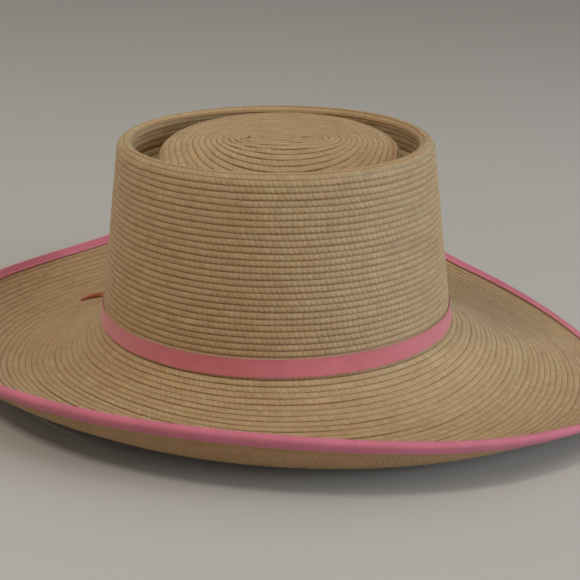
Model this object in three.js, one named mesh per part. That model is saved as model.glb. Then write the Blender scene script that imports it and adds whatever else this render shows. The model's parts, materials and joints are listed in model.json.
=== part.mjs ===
// A sewn palm-straw hat: an oval telescope crown, a brim that dips and then curls up, a ribbon round the
// foot of the crown and a tape folded over the edge of the brim. Millimetres, +Z up.
// The wearer's front is +X and the wearer's left is +Y. The hat lies on the plane Z = 0 on its brim.
import * as THREE from "three";

// Crown, outside of the straw, where it meets the brim
const CROWN_LENGTH = 208;
const CROWN_BREADTH = 181;
const CROWN_HEIGHT = 107;
const END_LEAN = 7.66; // degrees that the front and back of the wall lean inwards
const SIDE_LEAN = 5.89; // degrees that the two sides of the wall lean inwards
const STRAW = 2; // thickness of the sewn braid

// Top of the crown: a rolled rim, a groove inside it and a raised disc in the middle
const RIM_RADIUS = 4.5;
const GROOVE_DEPTH = 19;
const GROOVE_WIDTH = 12.9;
const GROOVE_CORNER = 4;
const DISC_DROP = 5.3; // how far the edge of the disc lies below the rim, at the front and back
const DISC_SHIFT = 2.3; // how far the disc lies towards the front
const DISC_TILT = 0.11; // rise of the disc towards the wearer's left, for each length
const DISC_CORNER = 5;
const DISC_DOME = 1;
const DISC_FLAT = 9; // half length of the flat spot in the middle of the disc
const DISC_SAG = 0.92; // share of its height that the disc loses at the wearer's right
const DISC_SAG_SPAN = 0.65; // share of its half breadth over which it sinks

// Brim, measured along the braid from the foot of the crown to the raw edge
const BRIM_WIDTH = 110.7;
const BRIM_FILLET = 4; // length over which the wall turns into the brim
const BRIM_SECTIONS = [
  // azimuth from the front, and the slope in degrees at the crown and at the edge
  { azimuth: 0, drop: -31, lift: -9 },
  { azimuth: 45, drop: -47, lift: 18 },
  { azimuth: 90, drop: -50, lift: 69 },
  { azimuth: 135, drop: -55, lift: 46 },
  { azimuth: 180, drop: -52, lift: 55 },
  { azimuth: 225, drop: -37, lift: 59 },
  { azimuth: 270, drop: -51, lift: 69 },
  { azimuth: 315, drop: -57, lift: 47 },
];

// Trims
const RIBBON_WIDTH = 10;
const RIBBON_THICKNESS = 1;
const TAPE_COVER = 3.5; // how far the tape reaches in from the raw edge, above and below
const TAPE_THICKNESS = 1;
const CLEARANCE = 0.3; // gap between neighbouring pieces

// Where the crown and the brim part, hidden under the ribbon
const JOINT_HEIGHT = 0.4 * RIBBON_WIDTH;

// Steps round the hat, along the curves of a section and across the brim
const ROUND_STEPS = 60;
const CURVE_STEPS = 2;
const DOME_STEPS = 5;
const BRIM_STEPS = 8;
const NOSE_STEPS = 4;
const SLOPE_STEPS = 40;

const straw = { color: 0xb79a70, roughness: 0.72, metalness: 0 };
const pink = { color: 0xcf6f80, roughness: 0.8, metalness: 0 };

const azimuths = Array.from({ length: ROUND_STEPS }, (_, i) => (2 * Math.PI * i) / ROUND_STEPS);
const { degToRad, smoothstep } = THREE.MathUtils;

// Crown

// Half length and half breadth of the wall's oval, at a height and a distance inside the outer face.
function oval(inset, z) {
  return [
    CROWN_LENGTH / 2 - inset - z * Math.tan(degToRad(END_LEAN)),
    CROWN_BREADTH / 2 - inset - z * Math.tan(degToRad(SIDE_LEAN)),
  ];
}

function ovalPoint(azimuth, inset, z) {
  const [halfLength, halfBreadth] = oval(inset, z);
  return new THREE.Vector3(halfLength * Math.cos(azimuth), halfBreadth * Math.sin(azimuth), z);
}

const GROOVE_FLOOR = CROWN_HEIGHT - GROOVE_DEPTH;
const GROOVE_OUTSIDE = 2 * RIM_RADIUS; // insets of the groove's two walls
const DISC_SIDE = GROOVE_OUTSIDE + GROOVE_WIDTH;
const DISC_TOP = CROWN_HEIGHT - DISC_DROP;

const WALL_TOP = CROWN_HEIGHT - RIM_RADIUS;

// Rings of one face of the crown's side, at a depth into the straw. It ends under the rolled rim.
function sideRings(depth) {
  const heights = [JOINT_HEIGHT, WALL_TOP - CLEARANCE];
  return heights.map((z) => azimuths.map((azimuth) => ovalPoint(azimuth, depth, z)));
}

// Section of the crown's tip from the rim to the shoulder of the disc, as inset and height, at a depth
// into the straw: the roll of the rim, the floor of the groove and the side of the disc.
function tipSection(depth) {
  const floor = GROOVE_FLOOR + GROOVE_CORNER;
  const path = new THREE.Path();
  path.absarc(RIM_RADIUS, WALL_TOP, RIM_RADIUS - depth, Math.PI, 0, true);
  path.absarc(GROOVE_OUTSIDE + GROOVE_CORNER, floor, GROOVE_CORNER + depth, Math.PI, 1.5 * Math.PI, false);
  path.absarc(DISC_SIDE - GROOVE_CORNER, floor, GROOVE_CORNER + depth, 1.5 * Math.PI, 2 * Math.PI, false);
  path.absarc(DISC_SIDE + DISC_CORNER, DISC_TOP - DISC_CORNER, DISC_CORNER - depth, Math.PI, Math.PI / 2, true);
  const points = path.getPoints(CURVE_STEPS);
  return points.filter((p, i) => i === 0 || p.distanceTo(points[i - 1]) > 0.01);
}

// The disc is tall at the wearer's left and sinks towards the groove floor at the right.
function sagged(point, depth, halfBreadth) {
  const rise = point.z + depth - GROOVE_FLOOR;
  const share = Math.max(0, rise) / (DISC_TOP - GROOVE_FLOOR);
  const tilted = rise + DISC_TILT * point.y * share;
  const sag = rise > 0 ? DISC_SAG * smoothstep(-point.y / halfBreadth, 0, DISC_SAG_SPAN) : 0;
  point.x += DISC_SHIFT;
  point.z = GROOVE_FLOOR - depth + tilted * (1 - sag);
  return point;
}

// Rings of one face of the crown's tip, from the foot of the rim to the pole of the disc.
function tipRings(depth) {
  const middle = GROOVE_OUTSIDE + GROOVE_WIDTH / 2;
  const rings = tipSection(depth).map(({ x: inset, y: z }) =>
    azimuths.map((azimuth) => {
      const point = ovalPoint(azimuth, inset, z);
      return inset > middle ? sagged(point, depth, oval(inset, z)[1]) : point;
    }),
  );
  const shoulder = oval(DISC_SIDE + DISC_CORNER, DISC_TOP);
  const flatShare = DISC_FLAT / shoulder[0];
  for (let step = 1; step <= DOME_STEPS; step++) {
    const share = 1 + ((flatShare - 1) * step) / DOME_STEPS;
    const z = DISC_TOP - depth + DISC_DOME * (1 - share ** 2);
    rings.push(
      azimuths.map((azimuth) => {
        const x = share * shoulder[0] * Math.cos(azimuth);
        const y = share * shoulder[1] * Math.sin(azimuth);
        const point = new THREE.Vector3(x, y, z);
        return step < DOME_STEPS ? sagged(point, depth, shoulder[1]) : point.setX(x + DISC_SHIFT);
      }),
    );
  }
  const pole = new THREE.Vector3(DISC_SHIFT, 0, rings.at(-1)[0].z);
  rings.push([pole]);
  return rings;
}

// Brim

// One column of the brim's table at an azimuth, on a smooth closed curve through its rows.
function brimColumn(name, azimuth) {
  const count = BRIM_SECTIONS.length;
  const place = (azimuth / (2 * Math.PI)) * count;
  const first = Math.floor(place);
  const t = place - first;
  const [a, b, c, d] = [-1, 0, 1, 2].map((i) => BRIM_SECTIONS[(first + i + count) % count][name]);
  return 0.5 * (2 * b + (c - a) * t + (2 * a - 5 * b + 4 * c - d) * t ** 2 + (3 * b - a - 3 * c + d) * t ** 3);
}

// The direction straight out from the foot of the crown, seen from above.
function outward(azimuth) {
  const x = CROWN_BREADTH * Math.cos(azimuth);
  const y = CROWN_LENGTH * Math.sin(azimuth);
  return new THREE.Vector3(x, y, 0).normalize();
}

// Slope of the brim at a distance along its section. It starts as the crown's wall, turns to the drop
// within the fillet and bends evenly to the lift at the edge.
function brimSlope(azimuth, along) {
  const out = outward(azimuth);
  const lean = END_LEAN * out.x ** 2 + SIDE_LEAN * out.y ** 2;
  const drop = brimColumn("drop", azimuth);
  const bend = drop + ((brimColumn("lift", azimuth) - drop) * along) / BRIM_WIDTH;
  const turn = Math.max(0, 1 - along / BRIM_FILLET);
  return degToRad(bend + (lean - 90 - bend) * turn);
}

// A point at a distance along the brim and a depth below its upper face. Past the raw edge the section
// goes straight on.
function brimPoint(azimuth, distance, depth) {
  const along = Math.min(distance, BRIM_WIDTH);
  const step = along / SLOPE_STEPS;
  let [reach, z] = [0, 0];
  for (let i = 0; i < SLOPE_STEPS; i++) {
    const slope = brimSlope(azimuth, (i + 0.5) * step);
    reach += step * Math.cos(slope);
    z += step * Math.sin(slope);
  }
  const slope = brimSlope(azimuth, along);
  reach += (distance - along) * Math.cos(slope) + depth * Math.sin(slope);
  z += (distance - along) * Math.sin(slope) - depth * Math.cos(slope);
  const point = ovalPoint(azimuth, 0, 0).addScaledVector(outward(azimuth), reach);
  return point.setZ(z);
}

// Rings of one face of the brim, from its collar inside the ribbon to the raw edge.
function brimRings(depth) {
  const open = BRIM_WIDTH - TAPE_COVER - BRIM_FILLET;
  const stations = [0, BRIM_FILLET / 2];
  for (let step = 0; step <= BRIM_STEPS; step++) stations.push(BRIM_FILLET + (open * step) / BRIM_STEPS);
  stations.push(BRIM_WIDTH);
  const collar = azimuths.map((azimuth) => ovalPoint(azimuth, depth, JOINT_HEIGHT - CLEARANCE));
  return [collar, ...stations.map((along) => azimuths.map((azimuth) => brimPoint(azimuth, along, depth)))];
}

// Trims

// A flat ribbon round the foot of the crown.
function ribbonRings() {
  const low = 2 * CLEARANCE;
  const high = low + RIBBON_WIDTH;
  const inside = -CLEARANCE;
  const outside = inside - RIBBON_THICKNESS;
  const corners = [[inside, low], [outside, low], [outside, high], [inside, high]];
  return corners.map(([inset, z]) => azimuths.map((azimuth) => ovalPoint(azimuth, inset, z)));
}

// A tape folded over the raw edge: two legs and a round nose, as distance past the edge and height over
// the middle of the straw.
function tapeRings() {
  const near = STRAW / 2 + CLEARANCE;
  const far = near + TAPE_THICKNESS;
  const section = [[-TAPE_COVER, far]];
  for (let i = 0; i <= NOSE_STEPS; i++) {
    const turn = Math.PI * (0.5 - i / NOSE_STEPS);
    section.push([CLEARANCE + far * Math.cos(turn), far * Math.sin(turn)]);
  }
  section.push([-TAPE_COVER, -far], [-TAPE_COVER, -near], [CLEARANCE, -near], [CLEARANCE, near]);
  section.push([-TAPE_COVER, near]);
  return section.map(([past, height]) =>
    azimuths.map((azimuth) => brimPoint(azimuth, BRIM_WIDTH + past, STRAW / 2 - height)),
  );
}

// Solids

// A closed surface through rings of points. A ring of one point is a pole, and with no pole the last
// ring joins the first.
function skin(rings) {
  const starts = [];
  const positions = [];
  for (const ring of rings) {
    starts.push(positions.length / 3);
    for (const point of ring) positions.push(point.x, point.y, point.z);
  }
  const index = [];
  const triangle = (a, b, c) => {
    if (a !== b && b !== c && c !== a) index.push(a, b, c);
  };
  const closed = rings[0].length > 1;
  const bands = closed ? rings.length : rings.length - 1;
  for (let band = 0; band < bands; band++) {
    const next = (band + 1) % rings.length;
    const vertex = (ring, i) => starts[ring] + (i % rings[ring].length);
    for (let i = 0; i < ROUND_STEPS; i++) {
      const [a, b] = [vertex(band, i), vertex(band, i + 1)];
      const [c, d] = [vertex(next, i + 1), vertex(next, i)];
      triangle(a, b, c);
      triangle(a, c, d);
    }
  }
  const geometry = new THREE.BufferGeometry();
  geometry.setAttribute("position", new THREE.Float32BufferAttribute(positions, 3));
  geometry.setIndex(index);
  geometry.computeVertexNormals();
  return geometry;
}

function piece(name, rings, finish) {
  const material = new THREE.MeshStandardMaterial(finish);
  const mesh = new THREE.Mesh(skin(rings), material);
  mesh.name = name;
  return mesh;
}

// How the hat lies

// The triangle of points that the hat stands on: no other point is below it, and the middle of the
// crown is over it.
function restingTriangle(points) {
  const leftOf = (a, b) => a.x * b.y - a.y * b.x;
  const floor = new THREE.Plane();
  for (const [i, a] of points.entries()) {
    for (const [j, b] of points.slice(i + 1).entries()) {
      for (const c of points.slice(i + j + 2)) {
        const sides = [leftOf(a, b), leftOf(b, c), leftOf(c, a)];
        if (Math.min(...sides) < 0) continue;
        floor.setFromCoplanarPoints(a, b, c);
        if (points.every((point) => floor.distanceToPoint(point) > -1e-6)) return floor;
      }
    }
  }
  throw new Error("the brim has no three points to stand on");
}

// The plane under the brim. Each pass keeps the lowest point at each azimuth over the plane found last.
function floorUnder(rings) {
  let floor = new THREE.Plane(new THREE.Vector3(0, 0, 1), 0);
  for (let pass = 0; pass < 4; pass++) {
    const over = (a, b) => floor.distanceToPoint(a) - floor.distanceToPoint(b);
    const lowest = azimuths.map((_, i) => rings.map((ring) => ring[i]).sort(over)[0]);
    floor = restingTriangle(lowest).clone();
  }
  return floor;
}

const [brimTop, brimUnder] = [brimRings(0), brimRings(STRAW)];
const [sideOuter, sideInner] = [sideRings(0), sideRings(STRAW)];
const [tipOuter, tipInner] = [tipRings(0), tipRings(STRAW)];
const tape = tapeRings();

const hat = new THREE.Group();
hat.add(piece("crown_side", [...sideInner.toReversed(), ...sideOuter], straw));
hat.add(piece("crown_tip", [...tipInner.toReversed(), ...tipOuter], straw));
hat.add(piece("brim", [...brimTop.toReversed(), ...brimUnder], straw));
hat.add(piece("crown_ribbon", ribbonRings(), pink));
hat.add(piece("brim_binding", tape.toReversed(), pink));

// Turned until it lies on its floor, then centred over the origin
const up = new THREE.Vector3(0, 0, 1);
hat.quaternion.setFromUnitVectors(floorUnder([...brimUnder, ...tape]).normal, up);
const bounds = new THREE.Box3().setFromObject(hat, true);
const centre = bounds.getCenter(new THREE.Vector3());
hat.position.set(-centre.x, -centre.y, -bounds.min.z);

export default hat;
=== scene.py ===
import json
import math

import bpy
import numpy as np
from mathutils import Matrix, Vector, noise


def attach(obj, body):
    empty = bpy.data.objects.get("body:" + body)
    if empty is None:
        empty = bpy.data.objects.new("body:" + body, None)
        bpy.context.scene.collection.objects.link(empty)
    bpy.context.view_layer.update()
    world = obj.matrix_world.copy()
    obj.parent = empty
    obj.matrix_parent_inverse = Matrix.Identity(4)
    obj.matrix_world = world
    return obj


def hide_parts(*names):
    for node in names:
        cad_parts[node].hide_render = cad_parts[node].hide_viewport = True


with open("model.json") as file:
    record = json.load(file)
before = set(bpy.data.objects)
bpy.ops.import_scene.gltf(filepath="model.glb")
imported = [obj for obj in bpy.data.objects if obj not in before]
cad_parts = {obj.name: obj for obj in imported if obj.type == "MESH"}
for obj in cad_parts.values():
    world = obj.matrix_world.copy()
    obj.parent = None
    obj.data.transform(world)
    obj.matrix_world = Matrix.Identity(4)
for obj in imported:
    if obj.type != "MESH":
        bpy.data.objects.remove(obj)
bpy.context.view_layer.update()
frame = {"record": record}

bl_info = {
    "name": "Sewn straw hat",
    "version": (1, 0, 0),
    "blender": (4, 5, 0),
    "location": "3D View > Sidebar > Straw Hat",
    "description": "A sewn palm-straw hat with a ribbon and a bound brim, in metres",
    "category": "Object",
}

# Form of the straw, as the solids have it, in metres and radians
END_LEAN = math.radians(7.66)  # how far the wall leans in at the front and the back
SIDE_LEAN = math.radians(5.89)
RIM_RADIUS = 0.0045
GROOVE_DEPTH = 0.019
GROOVE_WIDTH = 0.0129
GROOVE_CORNER = 0.004
DISC_DROP = 0.0053  # how far the disc lies under the rim
DISC_SHIFT = 0.0023  # how far towards the front
DISC_TILT = 0.11
DISC_CORNER = 0.005
DISC_DOME = 0.001
DISC_SAG = 0.92  # share of its height that the disc loses at the wearer's right
DISC_SAG_SPAN = 0.65  # share of the half breadth over which it sinks
BRIM_FILLET = 0.004
BRIM_SECTIONS = [
    # every eighth of a turn from the front: slope in degrees at the crown and at the edge
    {"drop": -31, "lift": -9},
    {"drop": -47, "lift": 18},
    {"drop": -50, "lift": 69},
    {"drop": -55, "lift": 46},
    {"drop": -52, "lift": 55},
    {"drop": -37, "lift": 59},
    {"drop": -51, "lift": 69},
    {"drop": -57, "lift": 47},
]
COLLAR = 0.004  # height of the brim's collar inside the ribbon
DISC_MIDDLE = Vector((0.0040, 0.0105, 0))  # where the braid starts
DISC_CORE = 0.018  # half length of the braid's first straight stretch

# Rows of the braid. A turn is one round of the spiral.
DISC_TURNS = 14
GROOVE_TURNS = 14
FIRST_TURN = 0.15  # where the rounds start beside the straight first stretch
FIRST_PITCH_LIMITS = (0.7, 1.4)  # pitch of the disc's first round, as a share of its mean pitch
CORE_DEPTH = 0.0008  # how far the straight first stretch lies under the rounds
CORE_TUCK = 0.0022  # how far its ends run on
WALL_PHASE = 0.21  # share of a row by which the wall's rows are shifted down
WALL_END = 1.2  # rows from the end of the wall's braid to the wall's foot, behind the ribbon
BRIM_START = 0.0013  # how far out the brim's first whole row lies, at the front
BRIM_PITCH = 0.00344
BRIM_FIRST_TURN = -1  # the brim's first round lies behind the ribbon
BRIM_INNER_TURNS = 19  # rounds of the brim's inner piece
BRIM_END = 0.5  # rows from the middle of the last round to the raw edge
BRIM_PAST_EDGE = 1.03  # length of the brim's section, as a share of the brim's width
BRIM_FIRST_PLAIT = 20000  # numbers of the first plaits, far apart so that no tones repeat
CORE_FIRST_PLAIT = 30000
CALM = {
    # how far from each end of its section a part's rows lie true, under a trim or beside the next part
    "disc": (0.0, 0.002),
    "groove": (0.002, 0.003),
    "wall": (0.003, 0.012),
    "brim": (0.008, 0.004),
}
CALM_FADE = 0.006
ROW_WOBBLE = 0.00042  # how far a row wanders along the straw
ROW_LIFT = 0.6  # how far it rises and falls, as a share of that
ROW_RING = 3  # size of the ring through the noise that a round follows
ROW_DRIFT = 0.9  # how far the ring moves through the noise for each turn
LIFT_DRIFT = 40
FOOT_LIFT = 0.00035  # how far the brim's first row swells out under the ribbon's edge
FOOT_TURNS = 1.5

# Trims
TRIM_STEPS = 540
RIBBON_START = -0.0007  # height of the ribbon's lower edge over the crown's foot
RIBBON_WAVE = 0.0003  # how far its edges rise and fall
RIBBON_RING = 4  # size and height of its ring through the noise
RIBBON_RING_HEIGHT = 7
RIPPLE = 0.4  # how far the ribbon comes off the straw, as a share of the wave
RIPPLE_SCALE = 3
RIPPLE_DRIFT = 1.5
RIBBON_LIFTS = [
    # share of the width, distance out from the straw
    (0.0, 0.00034),
    (0.04, 0.00038),
    (0.10, 0.00028),
    (0.3, 0.00017),
    (0.5, 0.00016),
    (0.7, 0.00016),
    (0.90, 0.00018),
    (0.96, 0.00026),
    (1.0, 0.00018),
]
TAPE_LIFT = 0.0004  # height of the fold over the straw
TAPE_NOSE = 0.0004  # how far past the raw edge the tape's fold starts
TAPE_WAVE = 0.00015
TAPE_RING = 9
TAPE_DRIFT = 90
TAPE_LEG = [
    # share of the cover in from the edge, lift over the straw: a hem, the stitched groove, the flat
    (1.0, 0.00022),
    (0.93, 0.00050),
    (0.82, 0.00052),
    (0.72, 0.00026),
    (0.60, 0.00042),
    (0.30, 0.00046),
]
STITCH_SHARE = 0.72  # share of the cover at which the tape is stitched down
STITCH_LENGTH = 0.0016
STITCH_STEP = 0.0026
STITCH_THICKNESS = 0.00034
TIE_STRANDS = [
    # share of a round, length along the brim from the crown, height over the straw
    [(0.4130, 0.0632, 0.0002), (0.4069, 0.0622, 0.0009), (0.4014, 0.0606, 0.0010), (0.3972, 0.0575, 0.0003)],
    [(0.4111, 0.0634, 0.0005), (0.4036, 0.0650, 0.0008), (0.3974, 0.0636, 0.0007), (0.3920, 0.0610, 0.0003)],
]
TIE_THICKNESS = (0.0025, 0.0017)
TIE_END = 0.6  # thickness of the ends of a strand, as a share
MARK = Vector((-0.0085, 0.0105, 0))  # a red-brown mark beside the start of the braid
MARK_SIZE = 0.0024
MARK_EDGE = 0.3  # how soft its edge is, as a share of its size
MARK_TINT = 0.55

# Steps of the curves that the braid and the trims follow
TURN_STEPS = 90
SECTION_STEP = 0.0006
COLLAR_STEPS = 6
NOSE_STEPS = 8
TOUCH = 1e-7  # points closer than this are the same
BRAID_SMOOTHING = 50  # degrees up to which edges are shaded smooth
TRIM_SMOOTHING = 60

# Camera in the crown's frame, and the photograph's frame in pixels
IMAGE_SIZE = 580
CAMERA_FOCUS = 1150
CAMERA_PLACE = (0.008077, -0.63696, 0.27193)
CAMERA_PITCH = math.radians(22.15)
CAMERA_ROLL = 0.0027
SENSOR_WIDTH = 36

# Floor, surroundings and lights
FLOOR_SIZE = 12
FLOOR_PLACE = (0, 2, -0.0005)
FLOOR_MOTTLE = 1.04  # how much paler the floor's pale patches are
SKY = (1.0, 0.96, 0.90)
SKY_STRENGTH = 0.40
STUDIO_LIGHTS = [
    # name, place, size, power, colour
    ("key", (-1.065, -1.0, 1.773), 0.30, 15, (1.0, 0.90, 0.76)),
    ("window", (2.2, -0.75, 0.65), 1.3, 36, (0.74, 0.88, 1.0)),
    ("top", (0.1, -0.9, 2.2), 1.2, 8, (1.0, 0.94, 0.84)),
]


def metres(name, description, default):
    return bpy.props.FloatProperty(
        name=name, description=description, default=default, min=0.0001, unit="LENGTH"
    )


def tint(name, description, default):
    return bpy.props.FloatVectorProperty(
        name=name, description=description, default=default, size=3, min=0, max=1, subtype="COLOR"
    )


class HatSizes(bpy.types.PropertyGroup):
    crown_length: metres("Crown length", "Length of the crown's foot, outside", 0.208)
    crown_breadth: metres("Crown breadth", "Breadth of the crown's foot, outside", 0.181)
    crown_height: metres("Crown height", "Height of the rim over the foot of the crown", 0.107)
    brim_width: metres("Brim width", "Width of the brim along the straw", 0.1107)
    straw: metres("Straw", "Thickness of two overlapping rows", 0.002)
    row_pitch: metres("Row pitch", "Distance from one row of braid to the next", 0.00351)
    plait: metres("Plait", "Length of one plait of the braid", 0.003)
    ribbon_width: metres("Ribbon width", "Width of the crown's ribbon", 0.0102)
    ribbon_thickness: metres("Ribbon thickness", "Thickness of the crown's ribbon", 0.0004)
    tape_cover: metres("Tape cover", "Reach of the tape in from the edge", 0.0035)
    tape_thickness: metres("Tape thickness", "Thickness of the folded tape", 0.0007)


class HatColours(bpy.types.PropertyGroup):
    straw_light: tint("Light straw", "Straw of the palest strands", (0.50, 0.36, 0.205))
    straw_dark: tint("Dark straw", "Straw of the darkest strands", (0.33, 0.21, 0.10))
    straw_red: tint("Red straw", "Straw where it has a red tinge", (0.47, 0.26, 0.15))
    straw_green: tint("Green straw", "Straw where it has a green tinge", (0.36, 0.32, 0.15))
    # Painted shade: the colour of the shade in the seams between the rows and in the plaits' valleys
    seam: tint("Seams", "Straw between the rows and in the plaits' valleys", (0.26, 0.11, 0.03))
    mark: tint("Mark", "Mark beside the start of the braid", (0.30, 0.10, 0.05))
    ribbon: tint("Ribbon", "Ribbon round the crown", (0.60, 0.15, 0.18))
    tape: tint("Tape", "Tape on the brim's edge", (0.55, 0.14, 0.20))
    thread: tint("Thread", "Dark strand of the thread tie", (0.36, 0.09, 0.04))
    thread_light: tint("Light thread", "Light strand of the thread tie", (0.62, 0.24, 0.14))
    stitches: tint("Stitches", "Stitches of the tape", (0.30, 0.05, 0.08))
    floor: tint("Floor", "Pale floor under the hat", (0.46, 0.45, 0.43))


# Form of the hat


def smoothstep(value):
    t = min(max(value, 0.0), 1.0)
    return t * t * (3 - 2 * t)


class HatForm:
    """The outer face of the straw in the crown's own frame, worked out from the sizes."""

    def __init__(self, sizes):
        self.sizes = sizes
        self.groove_floor = sizes.crown_height - GROOVE_DEPTH
        self.groove_outside = 2 * RIM_RADIUS
        self.disc_side = self.groove_outside + GROOVE_WIDTH
        self.disc_top = sizes.crown_height - DISC_DROP
        self.tables = {}
        seat = next(m for m in frame["record"]["mounts"] if m["name"] == "head_opening")
        lean = Vector((0, 0, 1)).rotation_difference(-Vector(seat["axis"]))
        self.world = Matrix.Translation(seat["pos_m"]) @ lean.to_matrix().to_4x4()

    def oval(self, inset, z):
        """Half length and half breadth of the wall's oval at a height and a distance inside the wall."""
        return (
            self.sizes.crown_length / 2 - inset - z * math.tan(END_LEAN),
            self.sizes.crown_breadth / 2 - inset - z * math.tan(SIDE_LEAN),
        )

    def oval_point(self, azimuth, inset, z):
        half_length, half_breadth = self.oval(inset, z)
        return Vector((half_length * math.cos(azimuth), half_breadth * math.sin(azimuth), z))

    def outward(self, azimuth):
        x = self.sizes.crown_breadth * math.cos(azimuth)
        y = self.sizes.crown_length * math.sin(azimuth)
        return Vector((x, y, 0)).normalized()

    def sagged(self, point, half_breadth):
        """The disc is tall at the wearer's left and sinks towards the groove's floor at the right."""
        rise = point.z - self.groove_floor
        share = max(0.0, rise) / (self.disc_top - self.groove_floor)
        tilted = rise + DISC_TILT * point.y * share
        sag = DISC_SAG * smoothstep(-point.y / half_breadth / DISC_SAG_SPAN) if rise > 0 else 0
        return Vector((point.x + DISC_SHIFT, point.y, self.groove_floor + tilted * (1 - sag)))

    def wall_points(self, azimuth):
        """From the crest of the rim down to the foot of the crown."""
        rim = self.sizes.crown_height - RIM_RADIUS
        flat = arc(RIM_RADIUS, rim, RIM_RADIUS, 90, 180) + [(0.0, 0.0)]
        return [self.oval_point(azimuth, inset, z) for inset, z in even(flat)]

    def groove_points(self, azimuth):
        """From the shoulder of the disc through the groove to where the wall's first row lies on the rim."""
        shoulder = self.disc_top - DISC_CORNER
        corner = self.groove_floor + GROOVE_CORNER
        flat = arc(self.disc_side + DISC_CORNER, shoulder, DISC_CORNER, 90, 180)
        flat += arc(self.disc_side - GROOVE_CORNER, corner, GROOVE_CORNER, 0, -90)
        flat += arc(self.groove_outside + GROOVE_CORNER, corner, GROOVE_CORNER, -90, -180)
        past_crest = math.degrees(WALL_PHASE * self.sizes.row_pitch / RIM_RADIUS)
        flat += arc(RIM_RADIUS, self.sizes.crown_height - RIM_RADIUS, RIM_RADIUS, 0, 90 + past_crest)
        foot = self.groove_outside + GROOVE_CORNER
        points = []
        for inset, z in even(flat):
            point = self.oval_point(azimuth, inset, z)
            share = min(max((inset - foot) / (GROOVE_WIDTH - 2 * GROOVE_CORNER), 0.0), 1.0)
            points.append(point.lerp(self.sagged(point, self.oval(inset, z)[1]), share))
        return points

    def disc_points(self, azimuth):
        """From the middle of the disc out to its shoulder."""
        half_length, half_breadth = self.oval(self.disc_side + DISC_CORNER, self.disc_top)
        edge = Vector((half_length * math.cos(azimuth), half_breadth * math.sin(azimuth), 0))
        start = DISC_MIDDLE + Vector((DISC_CORE * math.cos(azimuth) - DISC_SHIFT, 0, 0))
        steps = int((edge - start).length / SECTION_STEP)
        points = []
        for i in range(steps + 1):
            point = start.lerp(edge, i / steps)
            share = math.hypot(point.x / half_length, point.y / half_breadth)
            point.z = self.disc_top + DISC_DOME * (1 - share**2)
            points.append(self.sagged(point, half_breadth))
        return points

    def brim_column(self, name, azimuth):
        """One column of the brim's table at an azimuth, on a smooth closed curve through its rows."""
        count = len(BRIM_SECTIONS)
        place = azimuth / (2 * math.pi) * count
        first = math.floor(place)
        t = place - first
        a, b, c, d = (BRIM_SECTIONS[(first + i) % count][name] for i in (-1, 0, 1, 2))
        bend = 2 * a - 5 * b + 4 * c - d
        twist = 3 * b - a - 3 * c + d
        return 0.5 * (2 * b + (c - a) * t + bend * t**2 + twist * t**3)

    def brim_slope(self, azimuth, along):
        out = self.outward(azimuth)
        lean = END_LEAN * out.x**2 + SIDE_LEAN * out.y**2
        drop = self.brim_column("drop", azimuth)
        lift = self.brim_column("lift", azimuth)
        bend = math.radians(drop + (lift - drop) * along / self.sizes.brim_width)
        turn = max(0.0, 1 - along / BRIM_FILLET)
        return bend + (lean - math.pi / 2 - bend) * turn

    def brim_points(self, azimuth):
        """From the collar inside the ribbon to a little past the raw edge."""
        heights = [COLLAR * (1 - i / COLLAR_STEPS) for i in range(COLLAR_STEPS + 1)]
        points = [self.oval_point(azimuth, 0, height) for height in heights]
        out = self.outward(azimuth)
        foot = points[-1]
        reach, z = 0.0, 0.0
        for i in range(int(self.sizes.brim_width * BRIM_PAST_EDGE / SECTION_STEP)):
            slope = self.brim_slope(azimuth, min((i + 0.5) * SECTION_STEP, self.sizes.brim_width))
            reach += SECTION_STEP * math.cos(slope)
            z += SECTION_STEP * math.sin(slope)
            points.append(foot + out * reach + Vector((0, 0, z)))
        return points

    def table(self, part, step):
        """A part's section at a step of the turn: lengths along it, points, and slopes between them."""
        key = (part, step % TURN_STEPS)
        if key not in self.tables:
            azimuth = 2 * math.pi * key[1] / TURN_STEPS
            points = np.array([p[:] for p in getattr(self, part + "_points")(azimuth)])
            moves = np.diff(points, axis=0)
            lengths = np.linalg.norm(moves, axis=1)
            out = np.array(self.outward(azimuth)[:])
            slopes = np.unwrap(np.arctan2(moves[:, 2], moves @ out))
            along = np.concatenate([[0.0], np.cumsum(lengths)])
            self.tables[key] = (along, points, slopes)
        return self.tables[key]

    def length(self, part, step):
        return self.table(part, step)[0][-1]

    def place(self, part, step, along):
        """The point and the slope at a length along a part's section."""
        lengths, points, slopes = self.table(part, step)
        point = Vector([np.interp(along, lengths, points[:, i]) for i in range(3)])
        slope = float(np.interp(along, (lengths[1:] + lengths[:-1]) / 2, slopes))
        return point, slope

    def normal(self, azimuth, slope):
        """The way out of the straw's upper face, at an azimuth and a slope of the section."""
        return self.outward(azimuth) * -math.sin(slope) + Vector((0, 0, math.cos(slope)))


def arc(inset, z, radius, start, end):
    """Points of an arc of a section. Turns are in degrees, 0 towards the middle of the hat and 90 up."""
    steps = max(3, round(math.radians(abs(end - start)) * radius / SECTION_STEP))
    turns = [math.radians(start + (end - start) * i / steps) for i in range(steps + 1)]
    return [(inset + radius * math.cos(turn), z + radius * math.sin(turn)) for turn in turns]


def even(flat):
    """The same outline with long straight stretches cut into short steps."""
    points = [flat[0]]
    for end in flat[1:]:
        start = points[-1]
        steps = max(1, round(math.dist(start, end) / SECTION_STEP))
        if math.dist(start, end) > TOUCH:
            for i in range(1, steps + 1):
                points.append(tuple(a + (b - a) * i / steps for a, b in zip(start, end)))
    return points


# Helpers for modelling


def sizes():
    return bpy.context.scene.straw_hat_sizes


def colours():
    return bpy.context.scene.straw_hat_colours


FORMS = {}


def hat_form():
    """The hat's form, worked out once for each set of sizes."""
    key = tuple(getattr(sizes(), name) for name in HatSizes.__annotations__)
    if key not in FORMS:
        FORMS[key] = HatForm(sizes())
    return FORMS[key]


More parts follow.
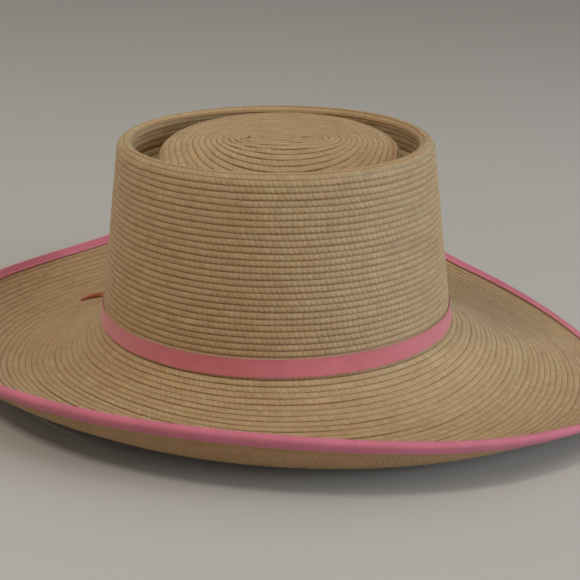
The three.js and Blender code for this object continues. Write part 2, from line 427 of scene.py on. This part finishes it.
def round_seed(azimuth, ring, height):
    """A place in the noise on a closed ring, so that what reads it meets itself after a round."""
    return Vector((ring * math.cos(azimuth), ring * math.sin(azimuth), height))


def round_length(place):
    """Length of a closed line round the hat, place(turn) being its point at a share of a round."""
    points = [place(i / TURN_STEPS) for i in range(TURN_STEPS + 1)]
    return sum((b - a).length for a, b in zip(points, points[1:]))


def only(obj):
    """Nothing but this object is selected, and it is active."""
    bpy.ops.object.select_all(action="DESELECT")
    obj.select_set(True)
    bpy.context.view_layer.objects.active = obj


def apply(obj, kind, **settings):
    """Adds a modifier with these settings and applies it."""
    only(obj)
    modifier = obj.modifiers.new(kind.title(), kind)
    for name, value in settings.items():
        setattr(modifier, name, value)
    bpy.ops.object.modifier_apply(modifier=modifier.name)


def repeat(obj, count, step, **settings):
    """Copies of the object in a row along X."""
    offset = {"use_relative_offset": False, "use_constant_offset": True}
    apply(obj, "ARRAY", count=count, constant_offset_displace=(step, 0, 0), **offset, **settings)


def finish_piece(obj, name, material, slot, angle, *nodes):
    """Names a piece, gives it its material and ties it to the frame."""
    only(obj)
    obj.name = name
    obj.data.name = name
    bpy.ops.object.shade_smooth_by_angle(angle=math.radians(angle))
    obj.data.materials.clear()
    obj.data.materials.append(material)
    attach(obj, "root")
    if nodes:
        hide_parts(*nodes)
    return obj


def loop_sheet(steps, rings, thickness, place):
    """A closed loop of cloth. place(turn, ring) gives a point of its inner face, turn being a share of a
    round. Its map has U round the loop and V across it."""
    bpy.ops.object.select_all(action="DESELECT")
    bpy.ops.mesh.primitive_circle_add(vertices=steps, radius=1)
    sheet = bpy.context.object
    bpy.ops.object.mode_set(mode="EDIT")
    bpy.ops.mesh.select_all(action="SELECT")
    for _ in range(rings - 1):
        bpy.ops.mesh.extrude_region_move(TRANSFORM_OT_translate={"value": (0, 0, 1)})
    bpy.ops.object.mode_set(mode="OBJECT")
    stations = []
    for vertex in sheet.data.vertices:
        step = round(math.atan2(vertex.co.y, vertex.co.x) / (2 * math.pi) * steps) % steps
        stations.append((step, round(vertex.co.z)))
    for vertex, (step, ring) in zip(sheet.data.vertices, stations):
        vertex.co = place(step / steps, ring)
    layer = sheet.data.uv_layers.new(name="Weave")
    for polygon in sheet.data.polygons:
        around = [stations[v][0] for v in polygon.vertices]
        wraps = max(around) - min(around) > 1
        for loop, v in zip(polygon.loop_indices, polygon.vertices):
            step, ring = stations[v]
            turn = steps if wraps and step == 0 else step
            layer.data[loop].uv = (turn / steps, ring / (rings - 1))
    only(sheet)
    bpy.ops.object.mode_set(mode="EDIT")
    bpy.ops.mesh.select_all(action="SELECT")
    bpy.ops.mesh.normals_make_consistent(inside=False)
    bpy.ops.object.mode_set(mode="OBJECT")
    apply(sheet, "SOLIDIFY", thickness=thickness, offset=1.0, use_even_offset=True)
    return sheet


# Braid

# Section of a strand of braid, as shares of the row pitch out from the middle of the row and as heights
# over the straw's face, with the share of the plait's relief that each point takes.
BRAID_SECTION = [
    # out, height in metres, relief
    (-0.83, -0.00086, 0.0),
    (-0.47, -0.00040, 0.6),
    (-0.24, -0.00006, 1.0),
    (0.14, 0.00000, 1.0),
    (0.42, -0.00016, 0.8),
    (0.50, -0.00056, 0.0),
    (0.02, -0.00118, -0.5),
    (-0.78, -0.00165, 0.0),
]
PLAIT_RELIEF = 0.00014  # height of a plait's crest over the valley beside it
PLAIT_SCALLOP = 0.00016  # how far the edge of the row swings out and in along each plait
PLAIT_LEAN = 0.35  # how far the strands run along the braid for each step out
PLAIT_BEND = 0.50  # and for each step off the row's middle line, to either side
OUTER_EDGE = 0.3  # points of the section further out than this swing with the scallops


def slant(out):
    """How far a strand has run along the braid at a share of the pitch out from the row's middle."""
    return (PLAIT_LEAN * out + PLAIT_BEND * abs(out)) * sizes().row_pitch


def plait_unit(length):
    """One plait: a closed section swept over a valley, a crest and a valley, bent like its strands."""
    pitch = sizes().row_pitch
    count = len(BRAID_SECTION)
    bpy.ops.object.select_all(action="DESELECT")
    bpy.ops.mesh.primitive_circle_add(vertices=count, radius=pitch / 2, rotation=(0, math.pi / 2, 0))
    unit = bpy.context.object
    bpy.ops.object.transform_apply(location=True, rotation=True, scale=True)
    for vertex, (out, height, _) in zip(unit.data.vertices, BRAID_SECTION):
        vertex.co = (slant(out), -out * pitch, height)
    bpy.ops.object.mode_set(mode="EDIT")
    bpy.ops.mesh.select_all(action="SELECT")
    for _ in range(2):
        bpy.ops.mesh.extrude_region_move(TRANSFORM_OT_translate={"value": (length / 2, 0, 0)})
    bpy.ops.object.mode_set(mode="OBJECT")
    for index, vertex in enumerate(unit.data.vertices):
        ring, place = divmod(index, count)
        relief = BRAID_SECTION[place][2]
        swing = 0.5 if ring == 1 else -0.5
        vertex.co.z += PLAIT_RELIEF * relief * swing
        if BRAID_SECTION[place][0] > OUTER_EDGE:
            vertex.co.y -= PLAIT_SCALLOP * swing
    paint_unit(unit, length)
    return unit


def paint_unit(unit, length):
    """Map of the unit: U runs along the braid, one for each plait, and V goes round the section."""
    count = len(BRAID_SECTION)
    layer = unit.data.uv_layers.new(name="Braid")
    for polygon in unit.data.polygons:
        places = [unit.data.loops[i].vertex_index % count for i in polygon.loop_indices]
        wraps = max(places) - min(places) > 1
        for loop, place in zip(polygon.loop_indices, places):
            vertex = unit.data.vertices[unit.data.loops[loop].vertex_index]
            v = count if wraps and place == 0 else place
            layer.data[loop].uv = ((vertex.co.x - slant(BRAID_SECTION[place][0])) / length, v / count)


def braid_curve(name, part, first, last, along):
    """A spiral over one part of the hat, from one turn to another. along(turn, step) is the length along
    the section of the middle of the row."""
    form = hat_form()
    rows = []
    for i in range(round(first * TURN_STEPS), round(last * TURN_STEPS) + 1):
        turn = i / TURN_STEPS
        azimuth = 2 * math.pi * turn
        seed = round_seed(azimuth, ROW_RING, turn * ROW_DRIFT)
        middle = along(turn, i)
        before, after = CALM[part]
        wobble = ROW_WOBBLE * smoothstep((form.length(part, i) - after - middle) / CALM_FADE)
        if before:
            wobble *= smoothstep((middle - before) / CALM_FADE)
        middle += noise.noise(seed) * wobble
        point, slope = form.place(part, i, middle)
        lift = noise.noise(seed + Vector((0, 0, LIFT_DRIFT))) * wobble * ROW_LIFT
        if part == "brim":
            lift += FOOT_LIFT * smoothstep(1 - abs(turn) / FOOT_TURNS)
        point += form.normal(azimuth, slope) * lift
        width = along(turn + 0.5, i) - along(turn - 0.5, i)
        rows.append((form.world @ point, -slope, width / sizes().row_pitch))
    return path_curve(name, "POLY", rows)


def path_curve(name, kind, rows):
    """A curve through rows of point, tilt and radius, and its length from point to point."""
    data = bpy.data.curves.new(name, "CURVE")
    data.dimensions = "3D"
    data.twist_mode = "Z_UP"
    spline = data.splines.new(kind)
    spline.points.add(len(rows) - 1)
    for target, (point, tilt, radius) in zip(spline.points, rows):
        target.co = (*point, 1)
        target.tilt = tilt
        target.radius = radius
    curve = bpy.data.objects.new(name, data)
    bpy.context.scene.collection.objects.link(curve)
    length = sum((b[0] - a[0]).length for a, b in zip(rows, rows[1:]))
    return curve, length


def sew_braid(name, curve, length, first_plait):
    """Plaits in a row along a spiral, closed at both ends."""
    count = round(length / sizes().plait)
    plait = length / count
    strand = plait_unit(plait)
    for loop in strand.data.uv_layers["Braid"].data:
        loop.uv.x += first_plait
    repeat(strand, count, plait, use_merge_vertices=True, merge_threshold=plait / 1000, offset_u=1.0)
    apply(strand, "CURVE", object=curve, deform_axis="POS_X")
    only(strand)
    bpy.ops.object.mode_set(mode="EDIT")
    bpy.ops.mesh.select_all(action="SELECT")
    bpy.ops.mesh.fill_holes(sides=len(BRAID_SECTION))
    bpy.ops.mesh.select_all(action="SELECT")
    bpy.ops.mesh.normals_make_consistent(inside=False)
    bpy.ops.object.mode_set(mode="OBJECT")
    strand.name = name
    bpy.data.objects.remove(curve)
    return strand, count


# Materials


class Nodes:
    """Short words for building a node material."""

    def __init__(self, name, roughness, sheen=0.0):
        self.material = bpy.data.materials.new(name)
        self.material.use_nodes = True
        self.tree = self.material.node_tree
        self.shader = self.tree.nodes["Principled BSDF"]
        self.shader.inputs["Roughness"].default_value = roughness
        self.shader.inputs["Specular IOR Level"].default_value = 0.3
        self.shader.inputs["Sheen Weight"].default_value = sheen
        self.shader.inputs["Sheen Roughness"].default_value = 0.5

    def add(self, kind, links=(), **settings):
        node = self.tree.nodes.new(kind)
        for name, value in settings.items():
            setattr(node, name, value)
        for socket, value in dict(links).items():
            if isinstance(value, bpy.types.NodeSocket):
                self.tree.links.new(value, node.inputs[socket])
            else:
                node.inputs[socket].default_value = value
        return node

    def math(self, operation, a, b=0.0):
        return self.add("ShaderNodeMath", {0: a, 1: b}, operation=operation).outputs[0]

    def weigh(self, patterns, shares):
        """The sum of the patterns, each times its share."""
        parts = [self.math("MULTIPLY", pattern, shares[name]) for name, pattern in patterns.items()]
        total = parts[0]
        for part in parts[1:]:
            total = self.math("ADD", total, part)
        return total

    def noise(self, vector, scale, detail=2.0, rough=0.5):
        links = {"Vector": vector, "Scale": scale, "Detail": detail, "Roughness": rough}
        return self.add("ShaderNodeTexNoise", links).outputs["Fac"]

    def mix(self, factor, a, b):
        node = self.add("ShaderNodeMix", data_type="RGBA")
        for socket, value in ((0, factor), (6, a), (7, b)):
            if isinstance(value, bpy.types.NodeSocket):
                self.tree.links.new(value, node.inputs[socket])
            else:
                node.inputs[socket].default_value = value
        return node.outputs[2]

    def spread(self, value, low, high, to_low=0.0, to_high=1.0):
        links = {"Value": value, "From Min": low, "From Max": high, "To Min": to_low, "To Max": to_high}
        return self.add("ShaderNodeMapRange", links, clamp=True).outputs["Result"]

    def bump(self, height, distance, before=None):
        links = {"Height": height, "Distance": distance}
        if before is not None:
            links["Normal"] = before
        return self.add("ShaderNodeBump", links).outputs["Normal"]

    def done(self, colour, normal=None):
        self.tree.links.new(colour, self.shader.inputs["Base Color"])
        if normal is not None:
            self.tree.links.new(normal, self.shader.inputs["Normal"])
        return self.material


def rgba(colour):
    return (*colour, 1.0)


def toned(colour, factor, lift=0.0):
    """A colour made darker or paler, as a shader takes it."""
    return rgba([min(1.0, c * factor + lift) for c in colour])


# Share of each pattern in the straw's tone, and the tones that are darkest and palest straw
STRAW_TONE = {"patches": 0.55, "strand": 0.12, "cells": 0.16, "fibres": 0.30, "stains": 0.35}
STRAW_TONE_RANGE = (0.46, 1.06)
CELLS = 4.8  # patches of tone in one round of the section
# Where the painted shade of the seams between the rows starts and is full, as shares of the way round the
# section, and how much there is
INNER_SEAM_SHADE = {"low": 0.20, "high": 0.11, "to_high": 0.6}
OUTER_SEAM_SHADE = {"low": 0.50, "high": 0.58, "to_high": 0.45}
# Painted shade in the plaits' valleys, where the crests shade them
VALLEY_SHADE_START = 0.28  # how far from a plait's crest its valley starts to darken, as a share of the plait
VALLEY_SHADE = 0.20
CREST_BUMP = 0.00006
FIBRE_BUMP = 0.00014


def straw_material():
    """Plaited palm straw: slanting strands, fibres along them, patches of colour along each row, and painted
    shade in the seams between the rows and in the plaits' valleys.
    """
    if "Palm straw" in bpy.data.materials:
        return bpy.data.materials["Palm straw"]
    n = Nodes("Palm straw", roughness=0.52, sheen=0.05)
    n.shader.inputs["Subsurface Weight"].default_value = 0.35
    n.shader.inputs["Subsurface Radius"].default_value = (1.0, 0.5, 0.2)
    n.shader.inputs["Subsurface Scale"].default_value = 0.004
    uv = n.add("ShaderNodeUVMap", uv_map="Braid").outputs["UV"]
    split = n.add("ShaderNodeSeparateXYZ", {"Vector": uv})
    along, round_section = split.outputs["X"], split.outputs["Y"]
    place = n.add("ShaderNodeTexCoord").outputs["Object"]

    def row_vector(along_scale, round_scale=0.0):
        x = n.math("MULTIPLY", along, along_scale)
        y = n.math("MULTIPLY", round_section, round_scale)
        return n.add("ShaderNodeCombineXYZ", {"X": x, "Y": y}).outputs["Vector"]

    def tinge(vector, scale, low, high, most):
        """Share of a tinge that comes and goes along the rows."""
        return n.spread(n.noise(vector, scale), low, high, to_high=most)

    cell = n.add("ShaderNodeVectorMath", {0: row_vector(1.0, CELLS)}, operation="FLOOR").outputs["Vector"]
    plait = n.math("FLOOR", along)
    fibres = n.noise(row_vector(9.0, 1.2), 1.0, rough=0.6)
    patterns = {
        "patches": n.noise(row_vector(0.13, 0.3), 1.0, detail=3.0, rough=0.6),
        "strand": n.add("ShaderNodeTexWhiteNoise", {"W": plait}, noise_dimensions="1D").outputs["Value"],
        "cells": n.add("ShaderNodeTexWhiteNoise", {"Vector": cell}, noise_dimensions="2D").outputs["Value"],
        "fibres": fibres,
        "stains": n.noise(place, 14.0, detail=3.0, rough=0.55),
    }
    tone = n.spread(n.weigh(patterns, STRAW_TONE), *STRAW_TONE_RANGE)
    base = n.mix(tone, rgba(colours().straw_dark), rgba(colours().straw_light))
    base = n.mix(tinge(row_vector(0.08), 1.7, 0.56, 0.72, 0.35), base, rgba(colours().straw_red))
    base = n.mix(tinge(row_vector(0.11, 0.2), 2.3, 0.58, 0.74, 0.22), base, rgba(colours().straw_green))

    # Painted shade: darker towards each plait's valleys, where shade falls between the crests
    from_crest = n.math("ABSOLUTE", n.math("SUBTRACT", n.math("FRACT", along), 0.5))
    valley = n.math("MULTIPLY", n.spread(from_crest, VALLEY_SHADE_START, 0.5), VALLEY_SHADE)
    # Painted shade along the seams, under and at each row's overlapping edge
    seam = n.math("MAXIMUM", n.spread(round_section, **INNER_SEAM_SHADE), n.spread(round_section, **OUTER_SEAM_SHADE))
    base = n.mix(n.math("MAXIMUM", valley, seam), base, rgba(colours().seam))

    mark = hat_form().world @ (MARK + Vector((0, 0, hat_form().disc_top)))
    away = n.add("ShaderNodeVectorMath", {0: place, 1: mark}, operation="DISTANCE").outputs["Value"]
    marked = n.spread(away, MARK_SIZE * (1 + MARK_EDGE), MARK_SIZE * (1 - MARK_EDGE), to_high=MARK_TINT)
    base = n.mix(marked, base, rgba(colours().mark))

    crest = n.math("COSINE", n.math("MULTIPLY", n.math("SUBTRACT", along, 0.5), 2 * math.pi))
    normal = n.bump(crest, CREST_BUMP)
    normal = n.bump(fibres, FIBRE_BUMP, before=normal)
    return n.done(base, normal)


def thread_material(name, colour):
    """Spun thread, a little uneven in tone."""
    n = Nodes(name, roughness=0.6, sheen=0.2)
    place = n.add("ShaderNodeTexCoord").outputs["Object"]
    return n.done(n.mix(n.noise(place, 1500.0), toned(colour, 0.7), rgba(colour)))


def cloth_material(name, colour, length, width, pitch, sheen, top_highlight):
    """Plain weave on the trim's own map, with the threads' pitch in metres, and a painted highlight that
    makes it paler along its first edge.
    """
    n = Nodes(name, roughness=0.72, sheen=sheen)
    uv = n.add("ShaderNodeUVMap", uv_map="Weave").outputs["UV"]
    split = n.add("ShaderNodeSeparateXYZ", {"Vector": uv})
    warp = n.math("SINE", n.math("MULTIPLY", split.outputs["X"], 2 * math.pi * round(length / pitch)))
    weft = n.math("SINE", n.math("MULTIPLY", split.outputs["Y"], 2 * math.pi * round(width / pitch)))
    place = n.add("ShaderNodeTexCoord").outputs["Object"]
    fade = n.noise(place, 28.0, detail=3.0, rough=0.6)
    fuzz = n.noise(place, 900.0, rough=0.6)
    tone = n.spread(n.math("ADD", fade, n.math("MULTIPLY", fuzz, 0.35)), 0.4, 0.95)
    base = n.mix(tone, toned(colour, 0.86), toned(colour, 1.13, 0.015))
    # Painted highlight: paler along the first edge, the tape's upper leg that faces the light
    top_highlight_mask = n.spread(split.outputs["Y"], 0.28, 0.0, to_high=top_highlight)
    base = n.mix(top_highlight_mask, base, toned(colour, 1.3, 0.10))
    weave = n.math("MULTIPLY", warp, weft)
    normal = n.bump(weave, pitch * 0.12)
    normal = n.bump(fuzz, pitch * 0.25, before=normal)
    return n.done(base, normal)


def ribbon_material():
    weave = {"length": 0.61, "width": sizes().ribbon_width, "pitch": 0.0004}
    return cloth_material("Pink ribbon", colours().ribbon, sheen=0.4, top_highlight=0.0, **weave)


def tape_material():
    weave = {"length": 1.2, "width": 0.013, "pitch": 0.0005}
    # The tape's upper leg takes a painted highlight
    return cloth_material("Pink tape", colours().tape, sheen=0.12, top_highlight=0.5, **weave)


# Operators


def core_curve(name):
    """The straight first stretch of the braid, a little under the rounds that are sewn to it."""
    form = hat_form()
    points = [form.place("disc", i, 0.0)[0] - Vector((0, 0, CORE_DEPTH)) for i in range(TURN_STEPS // 2 + 1)]
    points.insert(0, points[0] + Vector((CORE_TUCK, 0, 0)))
    points.append(points[-1] - Vector((CORE_TUCK, 0, 0)))
    return path_curve(name, "POLY", [(form.world @ point, 0.0, 1.0) for point in points])


class HAT_OT_crown_braid(bpy.types.Operator):
    """Sews the braid of the crown, from the middle of the disc to the foot of the wall"""

    bl_idname = "straw_hat.crown_braid"
    bl_label = "Crown braid"

    def execute(self, context):
        form = hat_form()
        lowest, highest = FIRST_PITCH_LIMITS

        def on_disc(turn, step):
            length = form.length("disc", step)
            first = min(max(DISC_TURNS * sizes().row_pitch / length, lowest), highest)
            share = turn / DISC_TURNS
            return length * share * (first + (1 - first) * share)

        def in_groove(turn, step):
            return form.length("groove", step) * (turn - DISC_TURNS) / GROOVE_TURNS

        def on_wall(turn, step):
            return (turn + WALL_PHASE) * sizes().row_pitch

        groove_end = DISC_TURNS + GROOVE_TURNS
        wall_end = form.length("wall", 0) / sizes().row_pitch - WALL_END
        plaits = 0
        parts = [
            ("braid_disc", "disc", FIRST_TURN, DISC_TURNS, on_disc, ()),
            ("braid_tip", "groove", DISC_TURNS, groove_end, in_groove, ("crown_tip",)),
            ("braid_side", "wall", 0, wall_end, on_wall, ("crown_side",)),
        ]
        for name, part, first, last, along, nodes in parts:
            curve, length = braid_curve(name + "_path", part, first, last, along)
            strand, count = sew_braid(name, curve, length, plaits)
            plaits += count
            if part == "disc":
                core, _ = sew_braid("braid_core", *core_curve("core_path"), CORE_FIRST_PLAIT)
                only(strand)
                core.select_set(True)
                bpy.ops.object.join()
            finish_piece(strand, name, straw_material(), "straw", BRAID_SMOOTHING, *nodes)
        return {"FINISHED"}


class HAT_OT_brim_braid(bpy.types.Operator):
    """Sews the braid of the brim, from under the ribbon to the raw edge"""

    bl_idname = "straw_hat.brim_braid"
    bl_label = "Brim braid"

    def execute(self, context):
        def on_brim(turn, step):
            return COLLAR + BRIM_START + turn * BRIM_PITCH

        brim_end = (sizes().brim_width - BRIM_START) / BRIM_PITCH - BRIM_END
        plaits = BRIM_FIRST_PLAIT
        parts = [
            ("braid_brim_inner", BRIM_FIRST_TURN, BRIM_INNER_TURNS, ("brim",)),
            ("braid_brim_outer", BRIM_INNER_TURNS, brim_end, ()),
        ]
        for name, first, last, nodes in parts:
            curve, length = braid_curve(name + "_path", "brim", first, last, on_brim)
            strand, count = sew_braid(name, curve, length, plaits)
            plaits += count
            finish_piece(strand, name, straw_material(), "straw", BRAID_SMOOTHING, *nodes)
        return {"FINISHED"}


class HAT_OT_ribbon(bpy.types.Operator):
    """Lays the flat ribbon round the foot of the crown"""

    bl_idname = "straw_hat.ribbon"
    bl_label = "Ribbon"

    def execute(self, context):
        form = hat_form()
        width = sizes().ribbon_width

        def place(turn, ring):
            azimuth = 2 * math.pi * turn
            seed = round_seed(azimuth, RIBBON_RING, RIBBON_RING_HEIGHT)
            wave = noise.noise(seed) * RIBBON_WAVE
            share, lift = RIBBON_LIFTS[ring]
            z = RIBBON_START + wave + share * width
            ripple = noise.noise(seed * RIPPLE_SCALE + Vector((0, 0, share * RIPPLE_DRIFT))) * RIBBON_WAVE
            return form.world @ form.oval_point(azimuth, -lift - ripple * RIPPLE, z)

        ribbon = loop_sheet(TRIM_STEPS, len(RIBBON_LIFTS), sizes().ribbon_thickness, place)
        finish_piece(ribbon, "ribbon", ribbon_material(), "pink_ribbon", TRIM_SMOOTHING, "crown_ribbon")
        round_crown = round_length(lambda turn: form.oval_point(2 * math.pi * turn, 0, 0))
        return {"FINISHED"}


class HAT_OT_binding(bpy.types.Operator):
    """Folds the tape over the raw edge of the brim"""

    bl_idname = "straw_hat.binding"
    bl_label = "Binding"

    def execute(self, context):
        form = hat_form()
        section = tape_section()
        flat = sum(math.dist(a, b) for a, b in zip(section, section[1:]))

        def place(turn, ring):
            past, height = section[ring]
            seed = round_seed(2 * math.pi * turn, TAPE_RING, past * TAPE_DRIFT)
            ripple = noise.noise(seed) * TAPE_WAVE
            return form.world @ brim_point(turn, past, height + math.copysign(ripple, height))

        tape = loop_sheet(TRIM_STEPS, len(section), sizes().tape_thickness, place)
        finish_piece(tape, "binding", tape_material(), "pink_binding", TRIM_SMOOTHING, "brim_binding")
        round_brim = round_length(lambda turn: brim_point(turn, 0, 0))
        return {"FINISHED"}


class HAT_OT_threads(bpy.types.Operator):
    """Stitches the tape down and ties the loose thread to the brim"""

    bl_idname = "straw_hat.threads"
    bl_label = "Threads"

    def execute(self, context):
        dark_red = thread_material("Stitches", colours().stitches)
        finish_piece(tape_stitches(), "stitches", dark_red, "pink_binding", TRIM_SMOOTHING)
        names = ("thread_tie_dark", "thread_tie_light")
        tones = (colours().thread, colours().thread_light)
        for name, points, thickness, tone in zip(names, TIE_STRANDS, TIE_THICKNESS, tones):
            strand = tie_strand(name, points, thickness)
            finish_piece(strand, name, thread_material(name, tone), "pink_binding", TRIM_SMOOTHING)
        return {"FINISHED"}


def tape_stitches():
    """Short stitches in a row along the groove of the tape's upper leg."""
    form = hat_form()
    groove = min(lift for _, lift in TAPE_LEG[1:])
    height = sizes().straw / 2 + groove + sizes().tape_thickness
    rows = []
    for i in range(TRIM_STEPS + 1):
        point = brim_point(i / TRIM_STEPS, -STITCH_SHARE * sizes().tape_cover, height)
        rows.append((form.world @ point, 0.0, 1.0))
    curve, length = path_curve("stitch_path", "POLY", rows)
    count = round(length / STITCH_STEP)
    bpy.ops.object.select_all(action="DESELECT")
    bpy.ops.mesh.primitive_uv_sphere_add(segments=8, ring_count=6, radius=0.5)
    stitches = bpy.context.object
    stitches.scale = (STITCH_LENGTH, STITCH_THICKNESS, STITCH_THICKNESS)
    bpy.ops.object.transform_apply(location=True, rotation=True, scale=True)
    repeat(stitches, count, length / count)
    apply(stitches, "CURVE", object=curve, deform_axis="POS_X")
    bpy.data.objects.remove(curve)
    return stitches


def tie_strand(name, points, thickness):
    """A short strand of the thread tie, thinner at its ends."""
    form = hat_form()
    rows = []
    for i, (turn, along, lift) in enumerate(points):
        point, slope = form.place("brim", turn * TURN_STEPS, COLLAR + along)
        point += form.normal(2 * math.pi * turn, slope) * lift
        rows.append((form.world @ point, 0.0, TIE_END if i in (0, len(points) - 1) else 1.0))
    curve, _ = path_curve(name, "NURBS", rows)
    curve.data.splines[0].use_endpoint_u = True
    curve.data.splines[0].order_u = 3
    curve.data.bevel_depth = thickness / 2
    curve.data.bevel_resolution = 3
    curve.data.use_fill_caps = True
    only(curve)
    bpy.ops.object.convert(target="MESH")
    return bpy.context.object


def brim_point(turn, past, height):
    """A point past the raw edge and at a height over the middle of the straw, at a share of a round."""
    form = hat_form()
    step = turn * TURN_STEPS
    point, slope = form.place("brim", step, COLLAR + sizes().brim_width)
    azimuth = 2 * math.pi * turn
    out = form.outward(azimuth) * math.cos(slope) + Vector((0, 0, math.sin(slope)))
    if past < 0:
        point, slope = form.place("brim", step, COLLAR + sizes().brim_width + past)
    else:
        point += out * past
    return point + form.normal(azimuth, slope) * (height - sizes().straw / 2)


def tape_section():
    """The inner face of the folded tape: upper leg, nose and lower leg."""
    far = sizes().straw / 2 + TAPE_LIFT
    legs = [(-sizes().tape_cover * share, sizes().straw / 2 + lift) for share, lift in TAPE_LEG]
    nose = []
    for i in range(NOSE_STEPS + 1):
        turn = math.pi * (0.5 - i / NOSE_STEPS)
        nose.append((TAPE_NOSE + far * math.cos(turn), far * math.sin(turn)))
    return legs + nose + [(past, -height) for past, height in reversed(legs)]


class HAT_OT_stage(bpy.types.Operator):
    """Makes the floor, the lights and the camera"""

    bl_idname = "straw_hat.stage"
    bl_label = "Stage"

    def execute(self, context):
        bpy.ops.object.select_all(action="DESELECT")
        bpy.ops.mesh.primitive_plane_add(size=FLOOR_SIZE, location=FLOOR_PLACE)
        floor = bpy.context.object
        floor.name = "floor"
        n = Nodes("Pale floor", roughness=0.7)
        place = n.add("ShaderNodeTexCoord").outputs["Object"]
        mottle = n.noise(place, 3.0, detail=3.0)
        base = n.mix(mottle, rgba(colours().floor), toned(colours().floor, FLOOR_MOTTLE))
        floor.data.materials.append(n.done(base))

        world = bpy.data.worlds.new("Studio")
        context.scene.world = world
        world.use_nodes = True
        world.node_tree.nodes["Background"].inputs["Color"].default_value = rgba(SKY)
        world.node_tree.nodes["Background"].inputs["Strength"].default_value = SKY_STRENGTH
        for name, spot, size, power, tone in STUDIO_LIGHTS:
            data = bpy.data.lights.new(name, "AREA")
            data.energy = power
            data.color = tone
            data.size = size
            light = bpy.data.objects.new(name, data)
            context.scene.collection.objects.link(light)
            light.location = spot
            light.rotation_euler = (-Vector(spot)).to_track_quat("-Z", "Y").to_euler()

        data = bpy.data.cameras.new("camera")
        data.sensor_width = SENSOR_WIDTH
        data.lens = CAMERA_FOCUS / IMAGE_SIZE * data.sensor_width
        camera = bpy.data.objects.new("camera", data)
        context.scene.collection.objects.link(camera)
        aim = Matrix.Rotation(math.pi / 2 - CAMERA_PITCH, 4, "X") @ Matrix.Rotation(CAMERA_ROLL, 4, "Z")
        camera.matrix_world = hat_form().world @ Matrix.Translation(CAMERA_PLACE) @ aim
        context.scene.camera = camera
        context.scene.view_settings.view_transform = "Standard"
        return {"FINISHED"}


class HAT_PT_panel(bpy.types.Panel):
    """Lists the sizes, the colours and the steps"""

    bl_idname = "HAT_PT_panel"
    bl_label = "Straw Hat"
    bl_space_type = "VIEW_3D"
    bl_region_type = "UI"
    bl_category = "Straw Hat"

    def draw(self, context):
        for group in (context.scene.straw_hat_sizes, context.scene.straw_hat_colours):
            for name in group.__annotations__:
                self.layout.prop(group, name)
        for operator in STEPS:
            self.layout.operator(operator.bl_idname)


STEPS = (HAT_OT_stage, HAT_OT_crown_braid, HAT_OT_brim_braid, HAT_OT_ribbon, HAT_OT_binding, HAT_OT_threads)
CLASSES = (HatSizes, HatColours, *STEPS, HAT_PT_panel)


def register():
    for cls in CLASSES:
        bpy.utils.register_class(cls)
    bpy.types.Scene.straw_hat_sizes = bpy.props.PointerProperty(type=HatSizes)
    bpy.types.Scene.straw_hat_colours = bpy.props.PointerProperty(type=HatColours)


def unregister():
    del bpy.types.Scene.straw_hat_colours
    del bpy.types.Scene.straw_hat_sizes
    for cls in reversed(CLASSES):
        bpy.utils.unregister_class(cls)


def main():
    register()
    bpy.ops.straw_hat.stage()
    bpy.ops.straw_hat.crown_braid()
    bpy.ops.straw_hat.brim_braid()
    bpy.ops.straw_hat.ribbon()
    bpy.ops.straw_hat.binding()
    bpy.ops.straw_hat.threads()


if __name__ == "__main__":
    main()
